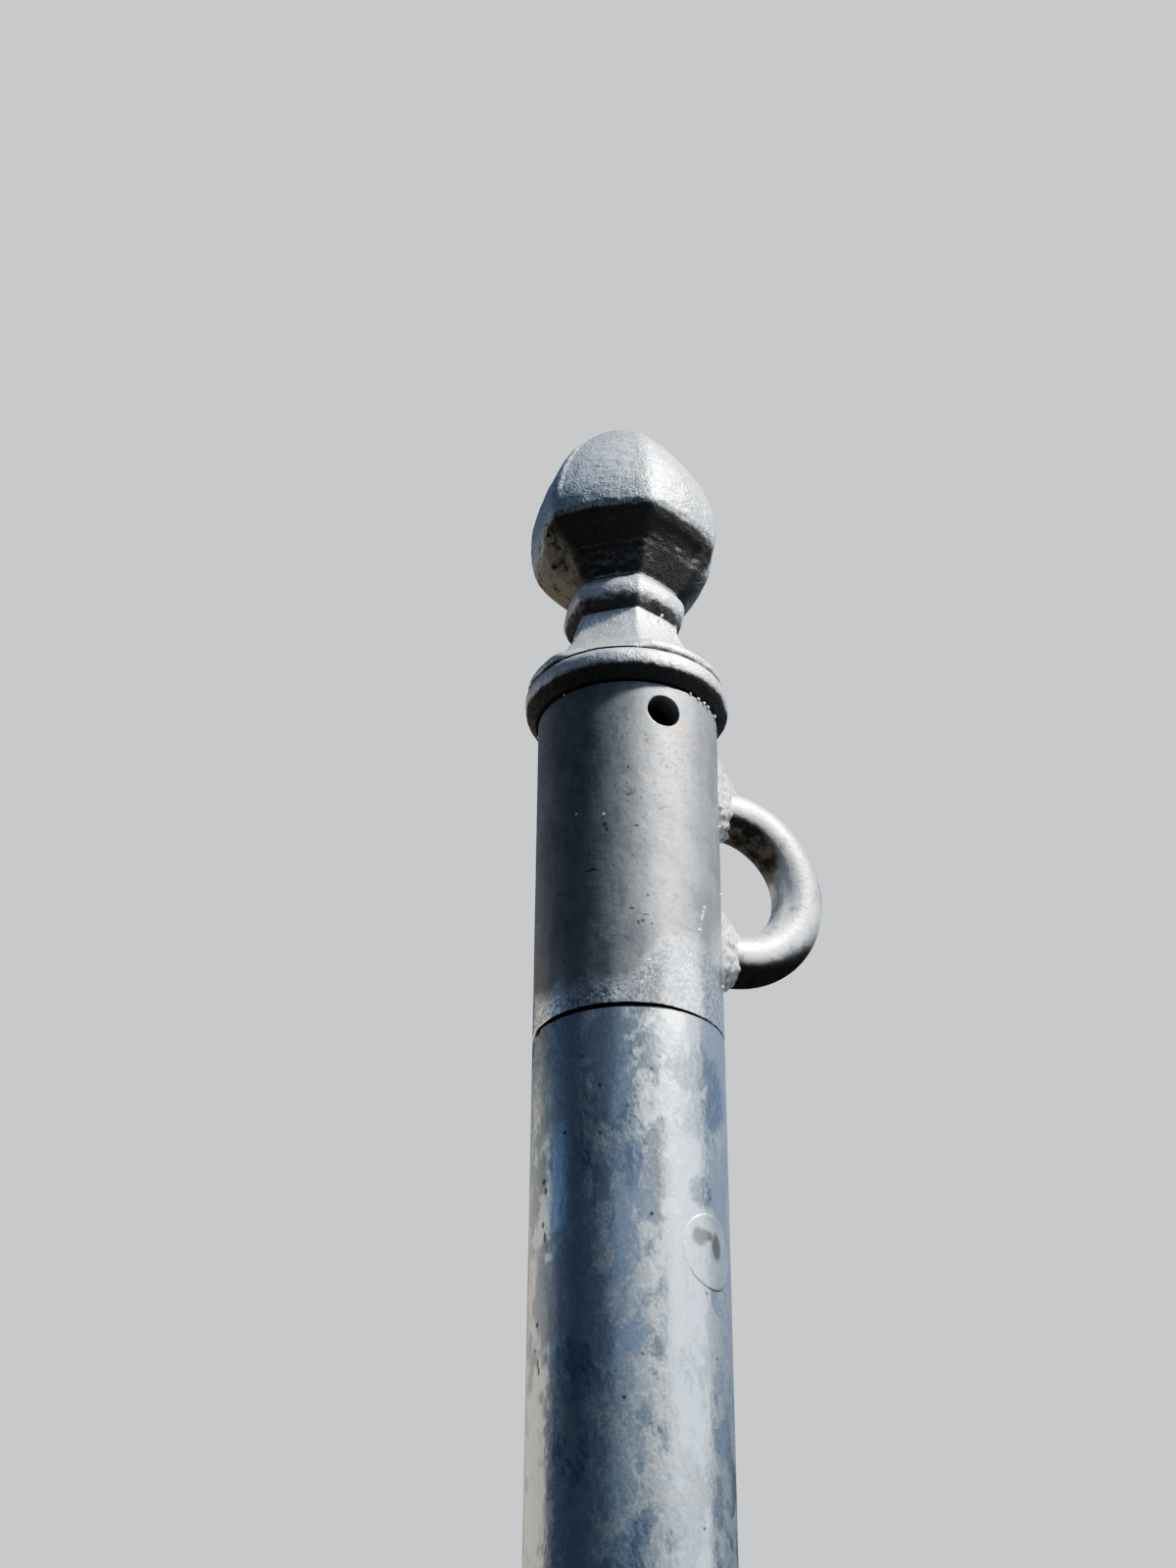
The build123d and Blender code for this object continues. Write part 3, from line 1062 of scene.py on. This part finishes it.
def weld_bead(height, seed, ramp):
    """A lumpy fillet round one leg of the eye that follows the tube's own curve and runs up the
    tube above the leg by ramp mm more than elsewhere; spatter sits on and round it."""
    steps = 20
    sunk = -1.2 * MM

    def point(turn, level):
        around = Vector((math.cos(turn), math.sin(turn), seed))
        wander = 1 + 0.3 * noise.noise(around * 1.3) + 0.2 * noise.noise(around * 3.3)
        along = (8.0 + ramp * 0.3 * max(math.sin(turn), 0)) * MM * wander
        out = (6.2 * wander + ramp * max(math.sin(turn), 0) ** 3) * MM
        if level < 0:
            off, up = sunk, along if level == -1 else sunk
        elif level > 1:
            off, up = out, sunk
        else:
            off = out * (0.95 * level * (1 - level) + level**2)
            up = along * (0.95 * level * (1 - level) + (1 - level) ** 2)
        y, z = (EYE_BAR + off) * math.cos(turn), (EYE_BAR + off) * math.sin(turn)
        spot = Vector((math.sqrt(max(TUBE_RADIUS**2 - y * y, 0)) + up, y, height + z))
        if 0 <= level <= 1:
            at = spot / MM + Vector((seed, 0, 0))
            lump = 0.9 * noise.noise(at / 3.6) + 0.3 * noise.noise(at / 1.7)
            push = Vector((1, math.cos(turn), math.sin(turn))).normalized()
            spot += push * (lump + 0.1) * MM * math.sin(math.pi * (0.1 + 0.8 * level))
        return spot

    # From 0 to 1 the ring runs over the bead's face, outside that over its back, sunk into the
    # bar and the tube
    levels = [-2, -1] + [i / steps for i in range(steps + 1)] + [2]
    bm = drawn_up(180, levels, point, closed=True)
    chance = random.Random(int(seed * 10))
    # Lumps on the bead, and small spatter on the tube round it
    for _ in range(9):
        turn = chance.uniform(0, 2 * math.pi)
        out = EYE_BAR + chance.uniform(1.5, 5.5) * MM
        y, z = out * math.cos(turn), out * math.sin(turn)
        x = math.sqrt(TUBE_RADIUS**2 - y * y) + chance.uniform(0.2, 1.6) * MM
        spot = Vector((x, y, height + z))
        add_lump(bm, spot, chance.uniform(1.0, 2.1) * MM, chance.uniform(0, 50))
    for _ in range(6):
        bearing = chance.uniform(-38, 38)
        rise = chance.choice((-1, 1)) * chance.uniform(15, 24) * MM
        spot = on_pole(bearing, height + rise)
        add_lump(bm, spot, chance.uniform(0.4, 0.8) * MM, chance.uniform(0, 50))
    return bm


def plug_cap(bearing):
    """A round cap ground nearly flush with the pole, its upper rim a little raised, laid on the
    tube's curve."""

    def point(turn, level):
        share, rise, lifted = level
        wobble = 1 - 0.006 * (1 + math.sin(3 * turn + 1)) - 0.004 * (1 + math.sin(7 * turn))
        upper = max(math.sin(turn + 0.2), 0) ** 3
        out = TUBE_RADIUS + (rise + lifted * upper) * MM
        across = PLUG_RADIUS * share * wobble * math.cos(turn)
        angle = math.radians(bearing) + across / TUBE_RADIUS
        up = PLUG_RADIUS * share * wobble * math.sin(turn)
        return Vector((out * math.cos(angle), out * math.sin(angle), PLUG_HEIGHT + up))

    # Share of the radius, and how far it stands out in mm: all round and at its upper rim more
    levels = [
        (1.0, -1.0, 0.0),
        (1.0, 0.0, 0.1),
        (0.985, 0.05, 0.26),
        (0.955, 0.08, 0.28),
        (0.915, 0.09, 0.3),
        (0.87, 0.1, 0.16),
        (0.82, 0.11, 0.04),
        (0.6, 0.16, 0.0),
        (0.4, 0.2, 0.0),
        (0.2, 0.22, 0.0),
        (0.06, 0.22, 0.0),
    ]
    return drawn_up(128, levels, point)


def zinc_drops():
    """Small drops of zinc that froze where it ran off the casting's lip on to the tube."""
    bm = bmesh.new()
    for number, (bearing, height, radius, size) in enumerate(ZINC_DROPS):
        spot = on_pole(bearing, HEAD_TOP + height * MM, radius * MM)
        add_lump(bm, spot, size * 0.8 * MM, number * 3.7)
    return bm


# ---- build ----

bright_tube = bright_galvanised_tube()
dull_tube = weathered_galvanised_tube()
casting = galvanised_sand_casting()
bar_zinc = galvanised_bar()
weld_zinc = galvanised_weld()
plug_zinc = stained_plug_weld()
inner_steel = dark_inner_steel()

inner_radius = TUBE_RADIUS - TUBE_WALL
pole_outline = (
    [(inner_radius, 0), (TUBE_RADIUS, 0)]
    + [(TUBE_RADIUS, JOINT * i / 12) for i in range(1, 12)]
    + rounded_corner((TUBE_RADIUS, JOINT), (TUBE_RADIUS, 0), (0, JOINT), 0.6 * MM)
    + [(inner_radius, JOINT)]
)
finished("pole_skin", turned(pole_outline), bright_tube, "pole_zinc", "pole_tube")

head = bent_tube(
    TUBE_RADIUS,
    TUBE_WALL,
    foot=HEAD_FOOT,
    top=HEAD_TOP,
    bearing=VENT_BEARING,
    around=144,
    up=88,
    hole=(VENT_HEIGHT, HEAD_VENT_RADIUS),
    rounding=0.7 * MM,
)
finished("head_skin", head, dull_tube, "head_zinc", "head_tube")

# The boss runs 1 mm up into the casting's foot
boss = bent_tube(
    BOSS_RADIUS,
    BOSS_WALL,
    foot=HEAD_TOP - BOSS_LENGTH,
    top=HEAD_TOP + 1 * MM,
    bearing=VENT_BEARING,
    around=96,
    up=30,
    hole=(VENT_HEIGHT, VENT_RADIUS),
    rounding=0.5 * MM,
)
finished("casting_boss", boss, inner_steel, "cast_zinc")
finished("cast_finial", cast_finial(), casting, "cast_zinc", "finial")
finished("zinc_drops", zinc_drops(), weld_zinc, "cast_zinc")

finished("eye_bar", eye_bar(), bar_zinc, "bar_zinc", "line_eye")
upper_bead = weld_bead(EYE_HEIGHT + EYE_BEND, seed=1.3, ramp=11)
lower_bead = weld_bead(EYE_HEIGHT - EYE_BEND, seed=4.1, ramp=6)
finished("upper_eye_bead", upper_bead, weld_zinc, "weld_zinc", "eye_welds")
finished("lower_eye_bead", lower_bead, weld_zinc, "weld_zinc")
finished("front_plug_cap", plug_cap(PLUG_BEARING), plug_zinc, "plug_zinc", "plug_welds")
finished("back_plug_cap", plug_cap(PLUG_BEARING + 180), plug_zinc, "plug_zinc")

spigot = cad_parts["spigot_tube"]
spigot.data.materials.clear()
spigot.data.materials.append(inner_steel)

# ---- floor, light and camera ----

FLOOR_REACH = 6
LIT_HEIGHT = 1.9

floor_bm = bmesh.new()
bmesh.ops.create_grid(floor_bm, x_segments=4, y_segments=4, size=FLOOR_REACH)
floor_mesh = bpy.data.meshes.new("floor")
floor_bm.to_mesh(floor_mesh)
floor_bm.free()
floor_mesh.materials.append(pale_floor())
floor = bpy.data.objects.new("floor", floor_mesh)
bpy.context.scene.collection.objects.link(floor)


def panel(name, azimuth, low, high, distance, width, power, colour):
    """A soft light panel that faces the head of the pole, from one height to another as
    elevations seen from the head, in degrees; the azimuth is to the right of the camera."""
    a = math.radians(PHOTO_AZIMUTH + azimuth)
    middle = math.radians((low + high) / 2)
    flat = math.cos(middle)
    out = Vector((math.sin(a) * flat, -math.cos(a) * flat, math.sin(middle)))
    light = bpy.data.lights.new(name, "AREA")
    light.shape = "RECTANGLE"
    light.size = width
    light.size_y = 2 * distance * math.tan(math.radians((high - low) / 2))
    light.energy = power
    light.color = linear(colour)[:3]
    lamp = bpy.data.objects.new(name, light)
    lamp.location = Vector((0, 0, LIT_HEIGHT)) + out * distance
    lamp.rotation_euler = out.to_track_quat("Z", "Y").to_euler()
    lamp.visible_camera = False
    bpy.context.scene.collection.objects.link(lamp)


panel("key", 64, 49, 54, 2.6, 0.24, 180, "#fffaf2")
panel("glow_round_the_key", 70, 26, 92, 2.5, 2.25, 26.5, "#f2f4f8")
panel("low_glow", 70, 4, 28, 2.5, 2.4, 14.7, "#eaf3fb")
panel("overhead", 0, 60, 95, 2.2, 2.0, 6, "#b4cdf5")
panel("sky_behind", -165, 28, 70, 2.6, 2.2, 2.8, "#5f8fe0")
panel("left_back", -132, -26, 25, 2.6, 2.95, 20, "#efe3cb")
panel("left_low", -97, 15, 27, 2.7, 1.5, 1.1, "#9cb4d8")
panel("right_back", 144, 12, 56, 2.6, 3.5, 9.5, "#b9d0f2")
panel("front", 4, 8, 34, 2.8, 2.1, 3.6, "#a6bcd6")

world = bpy.data.worlds.new("studio_air")
bpy.context.scene.world = world
world.use_nodes = True
sky = world.node_tree
sky.nodes.clear()
seen = add(sky, "ShaderNodeBackground", Color=linear(AIR_SEEN), Strength=1.0)
felt = add(sky, "ShaderNodeBackground", Color=linear(AIR_FELT), Strength=0.19)
rays = add(sky, "ShaderNodeLightPath")
both = add(sky, "ShaderNodeMixShader", {"Fac": rays.outputs["Is Camera Ray"]})
sky.links.new(felt.outputs[0], both.inputs[1])
sky.links.new(seen.outputs[0], both.inputs[2])
add(sky, "ShaderNodeOutputWorld", {"Surface": both.outputs[0]})

# The photograph's camera, fitted to the pole's outline and the joint
camera_data = bpy.data.cameras.new("camera")
camera_data.lens = 54.27
camera_data.sensor_width = 36.0
camera = bpy.data.objects.new("camera", camera_data)
camera.location = (-0.35407, -0.77692, 1.45882)
camera.rotation_euler = [math.radians(a) for a in (120.940, -0.3194, -23.5742)]
bpy.context.scene.collection.objects.link(camera)
bpy.context.scene.camera = camera

bpy.context.scene.view_settings.view_transform = "AgX"
bpy.context.scene.view_settings.look = "AgX - Medium High Contrast"
